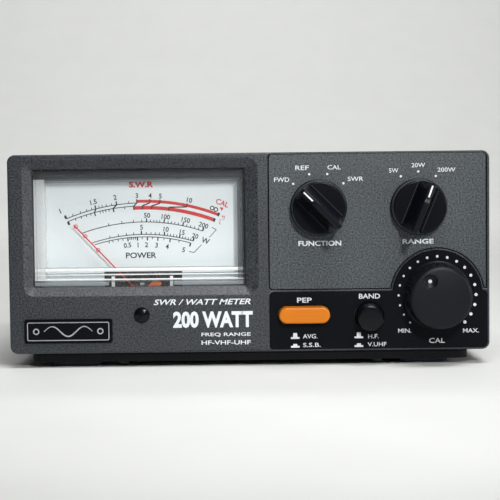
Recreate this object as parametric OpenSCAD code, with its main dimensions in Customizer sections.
// Desktop SWR and power meter: cross-needle sized panel meter on the left, two pointer
// switches, a calibration control and two push switches on the right, and four coaxial
// sockets at the back. Front faces -Y, +X is to the right, the rubber feet stand on z = 0.

/* [Case] */
// Width of the front panel
panel_w = 150; // [149:0.5:152]
// Height of the front panel
panel_h = 62.2; // [62:0.1:63]
// Corner radius of the front panel
panel_r = 2.4; // [1:0.1:3]
// Depth from the panel face to the cover's rear edge
case_d = 100; // [98:1:110]
// Thickness of the panel moulding's face
face_t = 3; // [3:0.1:3.2]
// Depth of the panel moulding's rim
rim_d = 8; // [7:0.5:9]
// Thickness of the cover's steel sheet
sheet_t = 1; // [0.8:0.1:1.2]
// Height of the rubber feet
foot_h = 1.8; // [1:0.1:3]
// Width of one rubber foot
foot_w = 15.2; // [12:0.2:16]

/* [Meter] */
// Horizontal place of the needle's pivot, from the panel's centre
pivot_u = -33.8; // [-34:0.1:-33.5]
// Height of the needle's pivot, from the panel's centre
pivot_v = -14.1; // [-14.3:0.1:-13.9]
// Length of the needle from its pivot
needle_len = 31.5; // [28:0.5:33]
// Angle of the resting needle, to the left of upright
needle_rest = 43.3; // [40:0.1:46]
// Distance of the zero screw below the pivot
zero_drop = 5.2; // [5.1:0.1:5.3]
// Distance of the zero screw's pin from the screw's axis
zero_throw = 0.8; // [0.7:0.05:0.85]

/* [Controls] */
// Horizontal place of the function switch
function_u = 21.7; // [21:0.1:22]
// Horizontal place of the range switch
range_u = 52.8; // [52:0.1:53]
// Height of both pointer switches
switch_v = 13.8; // [13.5:0.1:14]
// Horizontal place of the calibration control
cal_u = 58.6; // [58:0.1:59]
// Height of the calibration control
cal_v = -13.9; // [-14.2:0.1:-13.6]
// Angle of the function pointer, clockwise from upright
function_angle = -45; // [-45:15:45]
// Angle of the range pointer, clockwise from upright
range_angle = 22.5; // [-37.5:7.5:30]
// Angle of the calibration dot, clockwise from upright
cal_angle = -34; // [-135:1:135]
// How far the pointer knobs stand out of the panel
knob_reach = 15; // [14:0.5:15]
// Diameter of the pointer knobs' skirt
knob_d = 17.6; // [17:0.1:18]
// Diameter of the calibration knob
cal_knob_d = 21.4; // [20:0.1:22]
// Shaft diameter of all three controls
shaft_d = 6; // [6:0.1:6.1]
// Radial clearance of each shaft in its bushing
shaft_gap = 0.05; // [0.02:0.01:0.08]

/* [Sockets] */
// Distance from the middle of the back to the inner socket of each pair
socket_inner = 21; // [20:0.5:22]
// Distance between the two sockets of a pair
socket_pitch = 30; // [29:0.5:30]
// Height of the sockets above the table
socket_z = 30; // [28:0.5:32]
// Outside diameter of the coupling threads
thread_d = 15.9; // [15.8:0.1:16]
// How far the larger sockets stand out of the cover's rear edge
socket_reach = 18; // [17:0.5:20]

/* [Hidden] */
$fn = 96;
eps = 0.01;

// Case
floor_t = 2.8;
floor_sheet = 1.4;
tray_rim = 6;
floor_w = 137;
panel_z = foot_h + floor_t;
mid_z = panel_z + panel_h / 2;
face_y = -(knob_reach + case_d + socket_reach) / 2 + knob_reach;
back_y = face_y + case_d;
rim_t = 1.8;
rim_edge = 0.3;
cover_w = panel_w - 2;
cover_h = panel_h - 0.4;
cover_z = foot_h + floor_t;
cover_y = face_y + rim_d;
lip_w = 10;
rear_t = 1.5;
rear_y = back_y - 1.5;
foot_x = 55.1;
foot_ys = [face_y + 13.6, back_y - 12];
side_screw_ys = [cover_y + 5.5, back_y - 7.5];
lip_screw_x = 66.3;
lip_screw_y = 34;
bezel_screw_x = 40;
bezel_screw_y = face_y + 5.5;
flange_screw_xs = [-56, 0, 56];
flange_screw_z = 9;

// Plates let into the panel
plate_t = 1;
grey_plate = [6.2, -11.7, 73.9, 30.5];
black_plate = [6.25, -30.6, 74.3, -12.5];
cal_plate_r = 14;
grey_arc_r = 14.75;
badge_c = [-56.7, -24];
badge_size = [27.2, 7.2];

// Window and meter; depths are measured inwards from the panel face
window_out = [-70.3, -13.05, 2.7, 29.4];
window_in = [-67.8, -10.45, -1.2, 26.5];
bevel_d = 2;
boss_d = 2.1;
flange_front = 3;
flange_back = 4.6;
meter_box = [-69.2, -28, 1.2, 28.3];
housing_back = 26;
housing_t = 1.5;
dial_front = 9.2;
dial_t = 0.5;
dial_box = [-66.2, -14.8, -2.8, 25.4];
dial_notch_w = 24.8;
dial_notch_v = -5.9;
needle_depth = 7.1;
yoke_front = 11.8;
yoke_back = 20.8;
coil_front = 10.4;
coil_back = 22.2;
bridge_front = 5.5;
bridge_t = 0.6;
rear_bridge_front = 22.9;
bridge_arm = 9.2;
lever_front = 4.8;
spring_end_r = 3.2;
spring_front = 6.65;
spring_rear = 22.45;
zero_v = pivot_v - zero_drop;
zero_neck_d = 3.4;
dial_posts = [[-63.8, -13], [-5.2, -13], [-63.8, 23], [-5.2, 23]];
dial_screw_spots = [dial_posts[0], dial_posts[1]];
lug_spots = [[-71.2, 20], [-71.2, -20], [3.4, 20], [3.4, -20]];
lamp_spots = [[-58, 10], [-10, 10]];
terminal_spots = [[pivot_u - 18, -19], [pivot_u + 18, -19]];

// Controls
switch_spots = [[function_u, switch_v], [range_u, switch_v]];
pep_spot = [17, -19.6];
band_spot = [37.4, -20.4];
bushing_d = 9;
cal_bushing_d = 7;
washer_t = 0.5;
nut_t = 2;
knob_gap = 0.4;
disc_h = 4.5;
shaft_top = 4.8;
tip_d = 2.6;
tip_top = 9;
case_back = 18;
pot_back = 10.4;
board_front = 24;
board_t = 1.6;
spacer_spots = [[10.5, 26.8], [69.5, 26.8], [10.5, -26.5], [69.5, -26.5]];
push_front = 9;
plunger_w = 3;
cap_reach = 3.2;
band_reach = 5;
band_foot_d = 9.1;
band_hole_d = 9.6;

// Sockets and sensing boxes
flange_w = 25.4;
flange_t = 2.5;
flange_hole = 9.1;
neck_d = 13;
neck_gap = 0.02;
n_bore_d = 8.1;
n_core_d = 7;
box_w = 56;
box_h = 34;
box_d = 36;
box_t = 2;
uhf_xs = [-socket_inner - socket_pitch, -socket_inner];
n_xs = [socket_inner, socket_inner + socket_pitch];
uhf_len = back_y + socket_reach - rear_y - flange_t;
n_len = 14;
line_depth = 21;
jack_z = 52;

// ---- helpers ----

// Puts children on the panel: u right, v up from its centre, local z out of the face
module on_face(u = 0, v = 0) {
    translate([u, face_y, mid_z + v]) rotate([90, 0, 0]) children();
}

// Puts children on the rear panel: local z points out of the back
module on_back(x, z) {
    translate([x, rear_y, z]) rotate([-90, 0, 0]) children();
}

// Rounded rectangle about the origin
module round_rect(w, h, r) {
    square([w - 2 * r, h], center = true);
    square([w, h - 2 * r], center = true);
    for (x = [-1, 1], y = [-1, 1]) translate([x * (w / 2 - r), y * (h / 2 - r)]) circle(r);
}

// Rounded rectangle from a box [left, bottom, right, top]
module box_rect(b, r) {
    translate([(b[0] + b[2]) / 2, (b[1] + b[3]) / 2]) round_rect(b[2] - b[0], b[3] - b[1], r);
}

// A box grown by g on each side
function grown(b, g) = [b[0] - g, b[1] - g, b[2] + g, b[3] + g];

module stadium(l, w) {
    square([l - w, w], center = true);
    for (x = [-1, 1]) translate([x * (l - w) / 2, 0]) circle(w / 2);
}

// Straight-sided slab between two depths behind the face
module slab(front, back) {
    translate([0, 0, -back]) linear_extrude(back - front) children();
}

module rod(d, front, back) {
    translate([0, 0, -back]) cylinder(d = d, h = back - front);
}

// Pan-head screw: the head stands on z = 0, the shank goes down
module pan_screw(head_d, head_h, shank_d, shank_l) {
    difference() {
        union() {
            cylinder(d = head_d, h = head_h);
            translate([0, 0, -shank_l]) cylinder(d = shank_d, h = shank_l + eps);
        }
        for (a = [0, 90]) rotate(a) translate([0, 0, head_h])
            cube([head_d * 0.62, head_d * 0.16, head_h], center = true);
    }
}

// A round lead swept along points, eight sided
module lead(points, r) {
    sides = 8;
    n = len(points);
    function dir(i) = let(d = points[min(i + 1, n - 1)] - points[max(i - 1, 0)]) d / norm(d);
    function side(i) = let(s = cross(dir(i), [0.13, 0.21, 1])) s / norm(s);
    function ring_at(i) = let(s = side(i), t = cross(dir(i), s), step = 360 / sides)
        [for (k = [0:sides - 1]) points[i] + r * (cos(step * k) * s + sin(step * k) * t)];
    verts = [for (i = [0:n - 1]) each ring_at(i)];
    walls = [for (i = [0:n - 2], k = [0:sides - 1])
        [i * sides + k, i * sides + (k + 1) % sides, (i + 1) * sides + (k + 1) % sides, (i + 1) * sides + k]];
    caps = [[for (k = [sides - 1:-1:0]) k], [for (k = [0:sides - 1]) (n - 1) * sides + k]];
    polyhedron(verts, concat(walls, caps), convexity = 6);
}

// Smooth curve from a to b, leaving a along da and arriving at b along db, with a straight
// millimetre at each end so that the lead's ends are square to what they meet
function curve(a, da, b, db, steps = 14) =
    let(from = a + da / norm(da), to = b - db / norm(db))
    concat([a], [for (i = [0:steps]) let(t = i / steps, s = 1 - t)
        s * s * s * from + 3 * s * s * t * (from + da) + 3 * s * t * t * (to - db) + t * t * t * to], [b]);

// ---- case ----

module grey_outline(g) {
    difference() {
        box_rect(grown(grey_plate, g), 1.2 + g);
        translate([cal_u, cal_v]) circle(grey_arc_r - g);
    }
}

module black_outline(g) {
    box_rect(grown(black_plate, g), 1.4 + g);
    translate([cal_u, cal_v]) circle(cal_plate_r + g);
}

module front_bezel() color([0.3, 0.31, 0.33]) on_face() {
    difference() {
        union() {
            slab(rim_edge, rim_d) round_rect(panel_w, panel_h, panel_r);
            hull() {
                slab(rim_edge, rim_edge + eps) round_rect(panel_w, panel_h, panel_r, $fn = 32);
                slab(0, eps) round_rect(panel_w - 2 * rim_edge, panel_h - 2 * rim_edge, 2, $fn = 32);
            }
        }
        difference() {
            slab(face_t, rim_d + 1) round_rect(panel_w - 2 * rim_t, panel_h - 2 * rim_t, 0.8);
            for (s = lug_spots) translate([s[0], s[1], 0]) rod(3.6, face_t - 1, rim_d);
            for (x = [-1, 1]) translate([x * bezel_screw_x, -panel_h / 2 + 1.45, 0])
                slab(face_t - 1, rim_d) square([7, 2.9], center = true);
        }
        hull() {
            slab(-eps, 0) box_rect(window_out, 3.2, $fn = 32);
            slab(bevel_d, bevel_d + eps) box_rect(window_in, 0.3, $fn = 32);
        }
        slab(bevel_d - 0.1, face_t + 1) box_rect(window_in, 0.3);
        slab(-1, plate_t) grey_outline(0.25);
        slab(-1, plate_t) black_outline(0.1);
        slab(-1, 0.4) translate(badge_c) round_rect(badge_size[0] + 0.2, badge_size[1] + 0.2, 0.6);
        for (s = switch_spots) translate([s[0], s[1], 0]) rod(bushing_d + 0.2, 0, face_t + 1);
        translate([cal_u, cal_v, 0]) rod(cal_bushing_d + 0.2, 0, face_t + 1);
        translate([pivot_u, zero_v, 0]) rod(4.7, -1, face_t + 1);
        slab(0, face_t + 1) translate(pep_spot) stadium(16.6, 6);
        translate([band_spot[0], band_spot[1], 0]) rod(band_hole_d, 0, face_t + 1);
        for (s = lug_spots) translate([s[0], s[1], 0]) rod(1.6, 4.5, rim_d + 1);
        for (x = [-1, 1]) translate([x * bezel_screw_x, -panel_h / 2, -(bezel_screw_y - face_y)])
            rotate([-90, 0, 0]) translate([0, 0, -1]) cylinder(d = 2, h = 3.6);
    }
    for (x = [-1, 1]) difference() {
        translate([x * (panel_w / 2 - 2.95), 0, 0])
            slab(face_t - eps, rim_d + 10) square([1.7, 12], center = true);
        translate([x * panel_w / 2, 0, -(side_screw_ys[0] - face_y)]) rotate([0, -90 * x, 0])
            cylinder(d = 2.4, h = 8);
    }
}

module control_plate() color([0.42, 0.44, 0.46]) on_face() difference() {
    slab(0, plate_t) grey_outline(0);
    for (s = switch_spots) translate([s[0], s[1], 0]) rod(bushing_d + 0.2, -1, plate_t + 1);
}

module switch_plate() color([0.09, 0.1, 0.12]) on_face() difference() {
    slab(0, plate_t) black_outline(0);
    translate([cal_u, cal_v, 0]) rod(cal_bushing_d + 0.2, -1, plate_t + 1);
    slab(-1, plate_t + 1) translate(pep_spot) stadium(16.6, 6);
    translate([band_spot[0], band_spot[1], 0]) rod(band_hole_d, -1, plate_t + 1);
}

module badge_plate() color([0.04, 0.05, 0.07]) on_face()
    slab(-0.6, 0.4) translate(badge_c) round_rect(badge_size[0], badge_size[1], 0.5);

// Shallow tray with a raised rim, and a flange for the rear panel
module chassis() color([0.06, 0.06, 0.07]) difference() {
    union() {
        translate([0, (face_y + rear_y) / 2 + 0.5, foot_h]) difference() {
            linear_extrude(floor_t) round_rect(floor_w, case_d - 3.5, 3);
            translate([0, 0, floor_sheet]) linear_extrude(floor_t)
                round_rect(floor_w - 2 * tray_rim, case_d - 3.5 - 2 * tray_rim, 2);
        }
        translate([-60, rear_y - rear_t - 1.2, foot_h]) cube([120, 1.2, 10]);
    }
    for (x = [-1, 1], y = [-1, 1]) translate([x * lip_screw_x, y * lip_screw_y, 0]) cylinder(d = 2.4, h = 6);
    for (x = [-1, 1]) translate([x * bezel_screw_x, bezel_screw_y, 0]) cylinder(d = 2, h = 6);
    for (x = flange_screw_xs) translate([x, 0, flange_screw_z]) rotate([-90, 0, 0]) cylinder(d = 2.5, h = 90);
}

module top_cover() color([0.1, 0.1, 0.11]) difference() {
    translate([0, back_y, cover_z + cover_h / 2]) rotate([90, 0, 0]) linear_extrude(back_y - cover_y)
        difference() {
            round_rect(cover_w, cover_h, 2.2);
            round_rect(cover_w - 2 * sheet_t, cover_h - 2 * sheet_t, 1.2);
            translate([0, -cover_h / 2]) square([cover_w - 2 * lip_w, 4], center = true);
        }
    for (x = [-1, 1], y = side_screw_ys) translate([x * cover_w / 2, y, mid_z]) rotate([0, -90 * x, 0])
        translate([0, 0, -1]) cylinder(d = 2.4, h = 4);
    for (x = [-1, 1], y = [-1, 1]) translate([x * lip_screw_x, y * lip_screw_y, 0]) cylinder(d = 2.4, h = 6);
}

module rear_panel() color([0.12, 0.12, 0.13]) {
    plate_h = cover_h - 2 * sheet_t - 0.4;
    difference() {
        on_back(0, cover_z + cover_h / 2) slab(0, rear_t) round_rect(cover_w - 2.4, plate_h, 1);
        for (x = concat(uhf_xs, n_xs)) on_back(x, socket_z) socket_holes(rear_t + 1);
        for (x = flange_screw_xs) on_back(x, flange_screw_z) rod(2.5, -1, rear_t + 1);
        on_back(0, jack_z) rod(8, -1, rear_t + 1);
    }
    for (x = [-1, 1]) difference() {
        translate([x * (cover_w / 2 - 1.8), rear_y - rear_t - 4.5, mid_z])
            cube([1.2, 9 + eps, 40], center = true);
        translate([x * cover_w / 2, side_screw_ys[1], mid_z]) rotate([0, -90 * x, 0])
            cylinder(d = 2.4, h = 8);
    }
}

module feet() color([0.3, 0.33, 0.36])
    for (x = [-1, 1], y = foot_ys) translate([x * foot_x, y, 0])
        linear_extrude(foot_h) round_rect(foot_w, foot_w, 2);

module case_screws() color([0.2, 0.2, 0.21]) {
    for (x = [-1, 1], y = side_screw_ys) translate([x * cover_w / 2, y, mid_z]) rotate([0, 90 * x, 0])
        pan_screw(4.6, 0.95, 2.4, 3);
    for (x = [-1, 1], y = [-1, 1]) translate([x * lip_screw_x, y * lip_screw_y, foot_h]) rotate([180, 0, 0])
        pan_screw(4, 1, 2.4, floor_t + sheet_t);
    for (x = [-1, 1]) translate([x * bezel_screw_x, bezel_screw_y, foot_h]) rotate([180, 0, 0])
        pan_screw(4, 1, 2, floor_t + 2.4);
    for (x = flange_screw_xs) on_back(x, flange_screw_z) pan_screw(4.6, 1.3, 2.5, rear_t + 1.2);
}

// ---- meter ----

module meter_housing() color([0.12, 0.12, 0.13]) on_face() {
    difference() {
        slab(flange_back, housing_back) box_rect(meter_box, 1.5);
        difference() {
            slab(flange_back - 1, housing_back - housing_t) box_rect(grown(meter_box, -housing_t), 0.8);
            for (s = dial_posts) translate([s[0], s[1], 0]) rod(4, dial_front + dial_t, housing_back);
            for (y = [-1, 1]) translate([pivot_u, pivot_v + y * 9.2, 0]) rod(3.6, yoke_back, housing_back);
        }
        for (s = dial_screw_spots) translate([s[0], s[1], 0]) rod(1.4, 5, dial_front + dial_t + 4);
        for (s = terminal_spots) translate([s[0], s[1], 0]) rod(3, 20, housing_back + 1);
        for (s = lamp_spots) translate([s[0], s[1], 0]) rod(4.2, 20, housing_back + 1);
    }
    for (s = lug_spots) translate([s[0], s[1], 0]) difference() {
        translate([s[0] > 0 ? -0.4 : 0.3, 0]) slab(rim_d, rim_d + 2) square([4, 5], center = true);
        rod(1.6, rim_d - 1, rim_d + 3);
    }
}

module meter_cover() color([0.85, 0.9, 0.92, 0.35]) on_face() difference() {
    union() {
        slab(boss_d, flange_front) box_rect(grown(window_in, -0.2), 0.3);
        slab(flange_front, flange_back) box_rect(meter_box, 1.5);
        difference() {
            slab(flange_back - eps, dial_front - 0.3) box_rect(grown(window_in, -0.2), 0.3);
            slab(flange_back - 1, dial_front) box_rect(grown(window_in, -1.8), 0.3);
            slab(flange_back - 1, dial_front) translate([-80, -20]) square([90, 12]);
        }
    }
    for (v = [-4.4, -6.1, -7.8]) slab(flange_back - 0.5, flange_back + 1)
        translate([(window_in[0] + window_in[2]) / 2, v]) square([62.8, 0.5], center = true);
    translate([pivot_u, zero_v, 0]) rod(zero_neck_d + 2 * shaft_gap, 0, flange_back + 1);
    translate([pivot_u, zero_v, 0]) rod(6.2, 0, 3.8);
}

module dial_plate() color([0.88, 0.9, 0.89]) on_face() difference() {
    slab(dial_front, dial_front + dial_t) difference() {
        box_rect(dial_box, 0.5);
        translate([pivot_u - dial_notch_w / 2, -20]) square([dial_notch_w, 20 + dial_notch_v]);
    }
    for (s = dial_screw_spots) translate([s[0], s[1], 0]) rod(1.4, 5, dial_front + 5);
}

module dial_screws() color("silver") on_face()
    for (s = dial_screw_spots) translate([s[0], s[1], -dial_front]) pan_screw(2.6, 0.7, 1.4, 4);

// Pointer blade, hub ring, tail and balance arms, drawn with the blade along +y
module needle() color([0.75, 0.12, 0.12]) on_face(pivot_u, pivot_v) rotate(needle_rest) {
    slab(needle_depth, needle_depth + 0.3) {
        difference() {
            union() {
                circle(2);
                translate([-0.2, 0]) square([0.4, needle_len]);
                translate([-0.6, -6.5]) square([1.2, 6.5]);
                square([9.6, 0.9], center = true);
            }
            circle(0.5);
        }
    }
    for (p = [[-4.3, 0], [4.3, 0], [0, -5.8]]) translate([p[0], p[1], 0])
        rod(1.6, needle_depth - 0.35, needle_depth + eps);
}

module needle_staff() color("silver") on_face(pivot_u, pivot_v) {
    rod(1, 6.6, coil_front);
    rod(0.5, 6.25, 6.7);
    rod(1, coil_back, 22.8);
    rod(0.5, 22.7, 23.1);
}

module moving_coil() color([0.72, 0.38, 0.2]) on_face(pivot_u, pivot_v) rotate(needle_rest)
    translate([0, 0, -(coil_front + coil_back) / 2]) difference() {
        cube([13.8, 2.6, coil_back - coil_front], center = true);
        cube([10.6, 3, coil_back - coil_front - 2.4], center = true);
    }

// One flat spiral spring, from the staff out to the anchor
module spiral(inner, outer, turns, width) {
    steps = 72;
    function at(i, off) = let(r = inner + (outer - inner) * i / steps + off, a = 360 * turns * i / steps)
        [r * cos(a), r * sin(a)];
    outer_edge = [for (i = [0:steps]) at(i, width / 2)];
    inner_edge = [for (i = [steps:-1:0]) at(i, -width / 2)];
    rotate(90) polygon(concat(outer_edge, inner_edge));
}

// Front spring ends at the regulator's pin, rear spring at the rear bridge's post
module hairsprings() color([0.8, 0.65, 0.35]) on_face(pivot_u, pivot_v) {
    slab(spring_front, spring_front + 0.2) spiral(0.55, spring_end_r, 3, 0.2);
    rotate(-90) slab(spring_rear - 0.2, spring_rear) spiral(0.55, spring_end_r, 3, 0.2);
}

module core_magnet() color([0.5, 0.5, 0.52]) on_face(pivot_u, pivot_v)
    rod(10, yoke_front + 0.1, yoke_back - 0.1);

module magnet_supports() color([0.6, 0.55, 0.4]) on_face(pivot_u, pivot_v)
    slab(yoke_front + 1.2, yoke_back - 1.2) for (s = [-1, 1]) intersection() {
        difference() {
            circle(7.5);
            circle(5);
        }
        translate([0, s * 6]) square([3, 6], center = true);
    }

module yoke_ring() color([0.35, 0.35, 0.37]) on_face(pivot_u, pivot_v) difference() {
    rod(22, yoke_front, yoke_back);
    rod(15, yoke_front - 1, yoke_back + 1);
}

// Bridge across the pivot on two legs; the front one also has two upright ears
module bridge(front, legs_from, legs_to) {
    difference() {
        slab(front, front + bridge_t) round_rect(2 * bridge_arm + 3.4, 4.6, 1);
        rod(2.2, front - 1, front + bridge_t + 1);
    }
    for (x = [-1, 1]) translate([x * bridge_arm, 0, 0]) rod(2.6, legs_from, legs_to);
}

module meter_bridges() color([0.75, 0.76, 0.78]) on_face(pivot_u, pivot_v) {
    bridge(bridge_front, bridge_front + bridge_t - eps, yoke_front);
    for (x = [-1, 1]) slab(bridge_front, bridge_front + bridge_t)
        translate([x * bridge_arm - 0.5, 1]) square([1, 5.6]);
    bridge(rear_bridge_front, yoke_back, rear_bridge_front + eps);
    translate([spring_end_r, 0, 0]) rod(0.6, spring_rear, rear_bridge_front + eps);
}

module jewel_screws() color([0.78, 0.66, 0.35]) on_face(pivot_u, pivot_v) {
    difference() {
        rod(2.2, 4.7, 6.5);
        rod(0.6, 6.2, 6.6);
        slab(4.6, 5) square([3, 0.3], center = true);
    }
    difference() {
        rod(2.2, 22.9, 23.9);
        rod(0.6, 22.8, 23.15);
    }
}

// Regulator lever on the front jewel screw, with a fork for the zero screw's pin
module zero_lever() color("silver") on_face(pivot_u, pivot_v) {
    translate([0, spring_end_r, 0]) rod(0.6, lever_front, spring_front);
    slab(lever_front, lever_front + 0.4) difference() {
        union() {
            circle(2.4);
            translate([-1.1, -zero_drop + 0.1]) square([2.2, zero_drop - 0.1]);
            translate([-0.7, 0]) square([1.4, 4.6]);
        }
        circle(1.15);
        translate([-0.45, -zero_drop]) square([0.9, 1.4]);
    }
}

// Domed head in the panel, a collar kept behind the panel, and an off-centre pin for the lever
module zero_screw() color([0.07, 0.07, 0.08]) on_face(pivot_u, zero_v) {
    difference() {
        intersection() {
            rod(4.6, -0.9, face_t);
            translate([0, 0, -4.2]) sphere(5.1);
        }
        rotate(40) slab(-1.5, -0.2) square([6, 0.6], center = true);
    }
    rod(4.6, face_t - 0.2, face_t + 0.2);
    rod(5.8, face_t + 0.05, 3.7);
    rod(zero_neck_d, 3.6, 4.5);
    translate([0, zero_throw, 0]) rod(0.8, 4.4, lever_front + 0.4);
}

module meter_terminals() color([0.8, 0.66, 0.34]) on_face() for (s = terminal_spots)
    translate([s[0], s[1], 0]) {
        rod(3, 22, 33);
        slab(housing_back, housing_back + 2.2) circle(3.2, $fn = 6);
    }

module dial_lamps() color([0.95, 0.9, 0.7]) on_face() for (s = lamp_spots) translate([s[0], s[1], 0]) {
    rod(4.2, 20, housing_back + 1.5);
    rod(3.2, 14.5, 20 + eps);
    translate([0, 0, -14.5]) sphere(1.6);
}

module meter_screws() color([0.7, 0.7, 0.72]) on_face() for (s = lug_spots)
    translate([s[0], s[1], -rim_d - 2]) rotate([180, 0, 0]) pan_screw(3, 1.2, 1.6, 5);

// ---- rotary controls ----

// Half width of the pointer bar at height fraction t, flaring out towards the disc
function flare(t) = 0.85 + 2.4 * pow(1 - t, 2.2);

module pointer_knob(angle) {
    bar_h = knob_reach - disc_h;
    steps = 10;
    rotate(-angle) difference() {
        union() {
            translate([0, 0, knob_gap]) cylinder(d = knob_d, h = 0.8);
            translate([0, 0, knob_gap + 0.8]) cylinder(d1 = knob_d, d2 = knob_d - 0.5, h = 0.2);
            translate([0, 0, knob_gap + 1])
                cylinder(d1 = knob_d - 0.5, d2 = knob_d - 1.3, h = disc_h - knob_gap - 1);
            intersection() {
                rotate([90, 0, 0]) translate([0, 0, -knob_d / 2]) linear_extrude(knob_d) polygon(concat(
                    [for (i = [0:steps]) [flare(i / steps), disc_h - 0.2 + (bar_h + 0.2) * i / steps]],
                    [for (i = [steps:-1:0]) [-flare(i / steps), disc_h - 0.2 + (bar_h + 0.2) * i / steps]]));
                cylinder(d = knob_d - 1.3, h = knob_reach + 1);
            }
        }
        translate([0, 0, knob_gap - 1]) cylinder(d = 14.4, h = 3.4);
        cylinder(d = shaft_d, h = shaft_top);
        cylinder(d = tip_d, h = tip_top);
        translate([0, 2.1, knob_reach]) rotate([-21, 0, 0]) translate([-5, 0, 0]) cube([10, 10, 6]);
    }
}

module function_knob() color([0.08, 0.09, 0.11]) on_face(function_u, switch_v) pointer_knob(function_angle);
module range_knob() color([0.08, 0.09, 0.11]) on_face(range_u, switch_v) pointer_knob(range_angle);

// Shaft with the switch's contact rotor moulded on
module switch_spindle() {
    rod(tip_d, -tip_top, -shaft_top + eps);
    rod(shaft_d, -shaft_top, 16.4);
    rod(17.6, 9, 11.5);
    rotate(30) slab(11.5 - eps, 13) translate([4, -1.5]) square([4.4, 3]);
}

module function_spindle() color("silver") on_face(function_u, switch_v) switch_spindle();
module range_spindle() color("silver") on_face(range_u, switch_v) switch_spindle();

module switch_frames() color([0.7, 0.71, 0.72]) on_face() for (s = switch_spots) translate([s[0], s[1], 0])
    difference() {
        union() {
            rod(bushing_d, -washer_t - nut_t, face_t + 1);
            slab(face_t, face_t + 1.6) round_rect(22, 22, 2);
        }
        rod(shaft_d + 2 * shaft_gap, -5, face_t + 5);
    }

module switch_cases() color([0.16, 0.14, 0.12]) on_face() for (s = switch_spots) translate([s[0], s[1], 0]) {
    difference() {
        rod(22, face_t + 1.6, case_back);
        rod(19, 6.2, 16.5);
        rod(shaft_d + 0.4, face_t, 17);
    }
    for (a = [0:30:330]) rotate(a) translate([9, 0, 0]) rod(1, case_back - eps, board_front);
}

module cal_knob() color([0.09, 0.1, 0.12]) on_face(cal_u, cal_v) difference() {
    rotate_extrude() polygon([
        [0, knob_gap], [cal_knob_d / 2, knob_gap], [cal_knob_d / 2, knob_gap + 0.8],
        [9.65, 9.1], [9.5, 9.6], [9.1, 9.9], [8.6, 10], [0, 10]
    ]);
    translate([0, 0, knob_gap - 1]) cylinder(d = 12.6, h = 3.8);
    cylinder(d = shaft_d, h = 8);
    rotate(-cal_angle) translate([0, 6.1, 11]) sphere(2.25);
}

module cal_spindle() color("silver") on_face(cal_u, cal_v) {
    rod(shaft_d, -8, 8.6);
    rotate(-cal_angle) slab(7.6, 8.4) translate([-1, 2]) square([2, 4.5]);
}

module cal_pot() color([0.45, 0.42, 0.3]) on_face(cal_u, cal_v) {
    difference() {
        union() {
            rod(cal_bushing_d, -washer_t - nut_t, face_t + 1);
            rod(17, face_t, pot_back);
        }
        rod(shaft_d + 2 * shaft_gap, -5, 8.8);
        rod(14.6, face_t + 1.7, 8.8);
    }
    for (x = [-5, 0, 5]) translate([x, -6.5, 0]) rod(1, pot_back - eps, board_front);
}

module hex_nut(across, bore, h) {
    difference() {
        cylinder(d = across / cos(30), h = h, $fn = 6);
        translate([0, 0, -1]) cylinder(d = bore, h = h + 2);
    }
}

module shaft_nuts() color("silver") on_face() {
    for (s = switch_spots) translate([s[0], s[1], washer_t]) hex_nut(12, bushing_d, nut_t);
    translate([cal_u, cal_v, washer_t]) hex_nut(10, cal_bushing_d, nut_t);
}

module shaft_washers() color([0.6, 0.6, 0.62]) on_face() {
    for (s = switch_spots) translate([s[0], s[1], 0]) difference() {
        rod(13, -washer_t, 0);
        rod(bushing_d, -5, 5);
    }
    translate([cal_u, cal_v, 0]) difference() {
        rod(11, -washer_t, 0);
        rod(cal_bushing_d, -5, 5);
    }
}

// ---- push switches ----

module plunger_socket() slab(1, 5) square([plunger_w, plunger_w], center = true);

module pep_cap() color([0.88, 0.5, 0.16]) on_face(pep_spot[0], pep_spot[1]) difference() {
    union() {
        slab(-cap_reach + 0.5, 4) stadium(16, 5.4);
        slab(-cap_reach + 0.15, -cap_reach + 0.5 + eps) stadium(15.6, 5);
        slab(-cap_reach, -cap_reach + 0.15 + eps) stadium(15.1, 4.5);
    }
    plunger_socket();
}

module band_cap() color([0.07, 0.08, 0.1]) on_face(band_spot[0], band_spot[1]) difference() {
    union() {
        rod(band_foot_d, -0.4, 4);
        rotate_extrude() polygon([
            [0, 0.3], [band_foot_d / 2, 0.3], [band_foot_d / 2, 0.4], [4.05, band_reach - 0.6],
            [3.85, band_reach - 0.25], [3.5, band_reach - 0.05], [3.1, band_reach], [0, band_reach]
        ]);
    }
    plunger_socket();
}

module plunger() slab(1, 16) square([plunger_w, plunger_w], center = true);

module pep_plunger() color([0.9, 0.9, 0.86]) on_face(pep_spot[0], pep_spot[1]) plunger();
module band_plunger() color([0.9, 0.9, 0.86]) on_face(band_spot[0], band_spot[1]) plunger();

module push_switches() color([0.2, 0.2, 0.22]) on_face() for (s = [pep_spot, band_spot])
    translate([s[0], s[1], 0]) difference() {
        slab(push_front, board_front) square([12, 8.4], center = true);
        slab(push_front - 1, board_front - 1) square([plunger_w + 0.4, plunger_w + 0.4], center = true);
    }

// Compression spring behind a plunger
module push_spring()
    lead([for (i = [0:60]) [1.2 * cos(30 * i), 1.2 * sin(30 * i), -16.2 - 6.6 * i / 60]], 0.18);

module pep_spring() color("silver") on_face(pep_spot[0], pep_spot[1]) push_spring();
module band_spring() color("silver") on_face(band_spot[0], band_spot[1]) push_spring();

// ---- circuit board ----

module control_board() color([0.1, 0.35, 0.2]) on_face() {
    slab(board_front, board_front + board_t) translate([40, -0.75]) round_rect(64, 57.5, 1);
    for (s = spacer_spots) translate([s[0], s[1], 0]) rod(4.4, face_t, board_front + eps);
}

module board_chips() color([0.08, 0.08, 0.08]) on_face()
    for (s = [[22, 14, 9, 6], [52, 14, 9, 6], [30, -6, 19, 7]])
        slab(board_front + board_t, board_front + board_t + 3)
            translate([s[0], s[1]]) square([s[2], s[3]], center = true);

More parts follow.
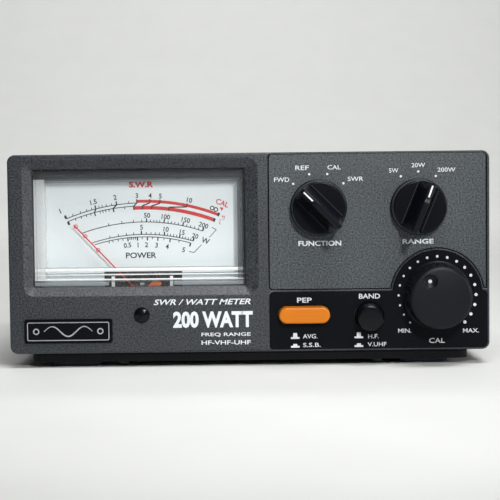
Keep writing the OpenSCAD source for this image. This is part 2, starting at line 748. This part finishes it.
module board_trimmers() color([0.15, 0.35, 0.7]) on_face()
    for (i = [0:5]) translate([14 + 9.5 * i, -22, 0]) difference() {
        slab(board_front + board_t, board_front + board_t + 4.5) square([6.6, 6.6], center = true);
        slab(board_front + board_t + 3.9, board_front + board_t + 6) square([3, 0.6], center = true);
    }

// ---- sockets and sensing boxes ----

// Clearance for one socket's body and its four screws
module socket_holes(depth) {
    rod(13, -1, depth);
    for (a = [-1, 1], b = [-1, 1]) translate([a * flange_hole, b * flange_hole, 0]) rod(3, -1, depth);
}

module sensor_boxes() color([0.68, 0.69, 0.7]) for (xs = [uhf_xs, n_xs]) difference() {
    translate([(xs[0] + xs[1]) / 2 - box_w / 2, rear_y - rear_t - box_d, socket_z - box_h / 2]) difference() {
        cube([box_w, box_d, box_h]);
        translate([box_t, box_t, box_t]) cube([box_w - 2 * box_t, box_d - 2 * box_t, box_h]);
    }
    for (x = xs) on_back(x, socket_z) socket_holes(5);
}

module sensor_lids() color([0.74, 0.75, 0.76]) for (xs = [uhf_xs, n_xs])
    translate([(xs[0] + xs[1]) / 2, rear_y - rear_t - box_d / 2, socket_z + box_h / 2])
        linear_extrude(1) round_rect(box_w, box_d, 1);

// Board across each box behind the through line, with a window for the ferrite ring
module sensor_boards() color([0.12, 0.36, 0.22]) for (xs = [uhf_xs, n_xs])
    on_back((xs[0] + xs[1]) / 2, socket_z) slab(line_depth + 1.5, line_depth + 3.1) difference() {
        square([box_w - 2 * box_t, 26], center = true);
        if (xs == uhf_xs) square([7, 14], center = true);
    }

// Through line of each pair: a round rod, and a flat bar with a short coupling strip beside it
module sensor_lines() color([0.8, 0.66, 0.34]) {
    on_back((uhf_xs[0] + uhf_xs[1]) / 2, socket_z) translate([0, 0, -line_depth]) rotate([0, 90, 0])
        cylinder(d = 3, h = socket_pitch + 3, center = true);
    on_back((n_xs[0] + n_xs[1]) / 2, socket_z) slab(line_depth - 0.6, line_depth + 1.5) {
        square([socket_pitch + 3, 4], center = true);
        translate([0, -4]) square([14, 1.4], center = true);
    }
}

// Ferrite ring of the current transformer
module sensor_ring() color([0.2, 0.2, 0.21]) on_back((uhf_xs[0] + uhf_xs[1]) / 2, socket_z)
    translate([0, 0, -line_depth]) rotate([0, 90, 0]) difference() {
        cylinder(d = 12, h = 6, center = true);
        cylinder(d = 3, h = 8, center = true);
    }

// Square flange with four screw holes, fitted around the socket's neck
module square_flange() linear_extrude(flange_t) difference() {
    round_rect(flange_w, flange_w, 1.5);
    circle(d = neck_d + 2 * neck_gap);
    for (a = [-1, 1], b = [-1, 1]) translate([a * flange_hole, b * flange_hole]) circle(d = 3);
}

module uhf_sockets() color([0.8, 0.8, 0.78]) for (x = uhf_xs) on_back(x, socket_z) {
    square_flange();
    difference() {
        union() {
            translate([0, 0, flange_t + neck_gap]) cylinder(d = thread_d, h = uhf_len - neck_gap);
            rod(neck_d, -flange_t - 1, 3.5);
        }
        translate([0, 0, flange_t + uhf_len - 9]) cylinder(d = 12.2, h = 10);
        rod(10, -20, 5);
    }
}

module n_sockets() color([0.8, 0.8, 0.78]) for (x = n_xs) on_back(x, socket_z) {
    square_flange();
    difference() {
        union() {
            translate([0, 0, flange_t + neck_gap]) cylinder(d = 14, h = n_len - 10);
            translate([0, 0, flange_t + n_len - 10]) cylinder(d = thread_d, h = 10);
            rod(neck_d, -flange_t - 1, 3.5);
        }
        translate([0, 0, flange_t + n_len - 9]) cylinder(d = n_bore_d, h = 10);
        rod(n_core_d, -20, 5);
    }
}

module socket_insulators() color([0.92, 0.9, 0.84]) {
    for (x = uhf_xs) on_back(x, socket_z) difference() {
        rod(10, -(flange_t + uhf_len - 9), 4.5);
        rod(5.4, -20, 6);
    }
    for (x = n_xs) on_back(x, socket_z) difference() {
        rod(n_core_d, -(flange_t + n_len - 9), 4.5);
        rod(3, -20, 6);
    }
}

module socket_contacts() color([0.83, 0.7, 0.4]) {
    for (x = uhf_xs) on_back(x, socket_z) difference() {
        rod(5.4, -(flange_t + uhf_len - 1), 19.5);
        rod(4, -40, -(flange_t + uhf_len - 12));
    }
    for (x = n_xs) on_back(x, socket_z) difference() {
        rod(3, -(flange_t + n_len - 2), 20.4);
        rod(1.7, -40, -(flange_t + n_len - 8));
    }
    on_back(0, jack_z) rod(2.1, -1, 8);
}

module socket_screws() color([0.6, 0.6, 0.62]) for (x = concat(uhf_xs, n_xs)) on_back(x, socket_z)
    for (a = [-1, 1], b = [-1, 1]) translate([a * flange_hole, b * flange_hole, flange_t])
        pan_screw(5.2, 1.8, 3, flange_t + rear_t + box_t);

module dc_jack() color([0.07, 0.07, 0.08]) on_back(0, jack_z) difference() {
    union() {
        rod(11, -1.6, 0);
        rod(8, -1.6, rear_t + 1);
        slab(rear_t, 13) square([9, 9], center = true);
    }
    rod(5.6, -5, 8);
}

// Two signal leads, two meter leads and two lamp leads, all inside the case
module internal_leads() color([0.55, 0.12, 0.1]) {
    board_y = face_y + board_front + board_t;
    box_y = rear_y - rear_t - box_d;
    lead(curve([-14, box_y, 36], [0, -16, 0], [20, board_y, 38], [0, -14, 0]), 1.1);
    lead(curve([14, box_y, 36], [0, -16, 0], [44, board_y, 38], [0, -14, 0]), 1.1);
    for (i = [0, 1]) lead(curve(
        [terminal_spots[i][0], face_y + 33, mid_z + terminal_spots[i][1]], [0, 8, 0],
        [12, board_y, mid_z - 6 + 5 * i], [0, -12, 0]), 0.6);
    for (i = [0, 1]) lead(curve(
        [-3 + 6 * i, rear_y - 13, jack_z], [0, -20, 0],
        [lamp_spots[i][0], face_y + housing_back + 1.5, mid_z + lamp_spots[i][1]], [0, -14, 0]), 0.6);
}

front_bezel();
control_plate();
switch_plate();
badge_plate();
chassis();
top_cover();
rear_panel();
feet();
case_screws();
meter_housing();
meter_cover();
dial_plate();
dial_screws();
needle();
needle_staff();
moving_coil();
hairsprings();
core_magnet();
magnet_supports();
yoke_ring();
meter_bridges();
jewel_screws();
zero_lever();
zero_screw();
meter_terminals();
dial_lamps();
meter_screws();
function_knob();
function_spindle();
range_knob();
range_spindle();
switch_frames();
switch_cases();
cal_knob();
cal_spindle();
cal_pot();
shaft_nuts();
shaft_washers();
pep_cap();
pep_plunger();
pep_spring();
band_cap();
band_plunger();
band_spring();
push_switches();
control_board();
board_chips();
board_trimmers();
sensor_boxes();
sensor_lids();
sensor_boards();
sensor_lines();
sensor_ring();
uhf_sockets();
n_sockets();
socket_insulators();
socket_contacts();
socket_screws();
dc_jack();
internal_leads();
